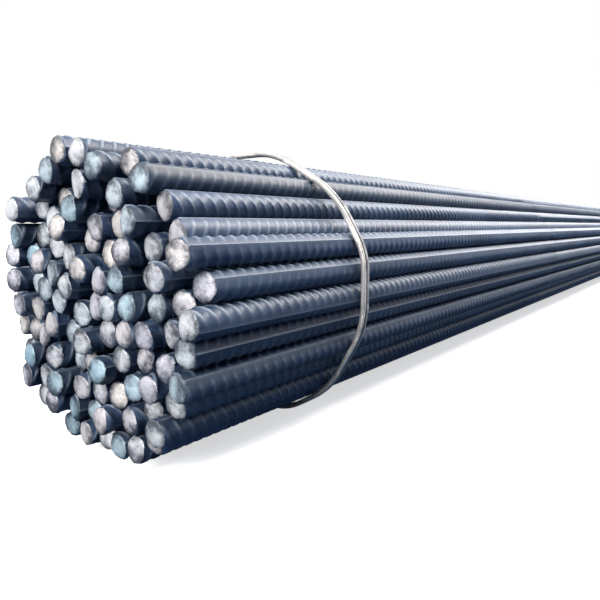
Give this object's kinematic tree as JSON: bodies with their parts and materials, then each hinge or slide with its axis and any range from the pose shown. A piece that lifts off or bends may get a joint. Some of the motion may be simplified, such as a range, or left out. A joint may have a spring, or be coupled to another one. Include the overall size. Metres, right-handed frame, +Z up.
{
  "type": "rebar bundle",
  "caption": "Round bundle of long straight ribbed steel bars with sheared, staggered ends, held by double wire ties twisted at one side.",
  "frame": {"origin": "on the floor, under the middle of the bundle's length and width", "axes": "+Y along the bars, from the end the picture shows to the far end; +Z up; +X to the side away from the twisted wire ends"},
  "size_m": [0.3524, 6.0236, 0.2937],
  "materials": {
    "bar_steel": "hot rolled steel with blue-black mill scale, bright on the sheared ends",
    "tie_wire": "pale drawn wire rod, dull"
  },
  "bodies": {
    "root": {"bar_row_01": "bar_steel", "bar_row_02": "bar_steel", "bar_row_03": "bar_steel", "bar_row_04": "bar_steel", "bar_row_05": "bar_steel", "bar_row_06": "bar_steel", "bar_row_07": "bar_steel", "bar_row_08": "bar_steel", "bar_row_09": "bar_steel", "bar_row_10": "bar_steel", "bar_row_11": "bar_steel", "bar_row_12": "bar_steel", "bar_row_13": "bar_steel", "wire_tie_1": "tie_wire", "wire_tie_2": "tie_wire", "wire_tie_3": "tie_wire"}
  },
  "joints": []
}
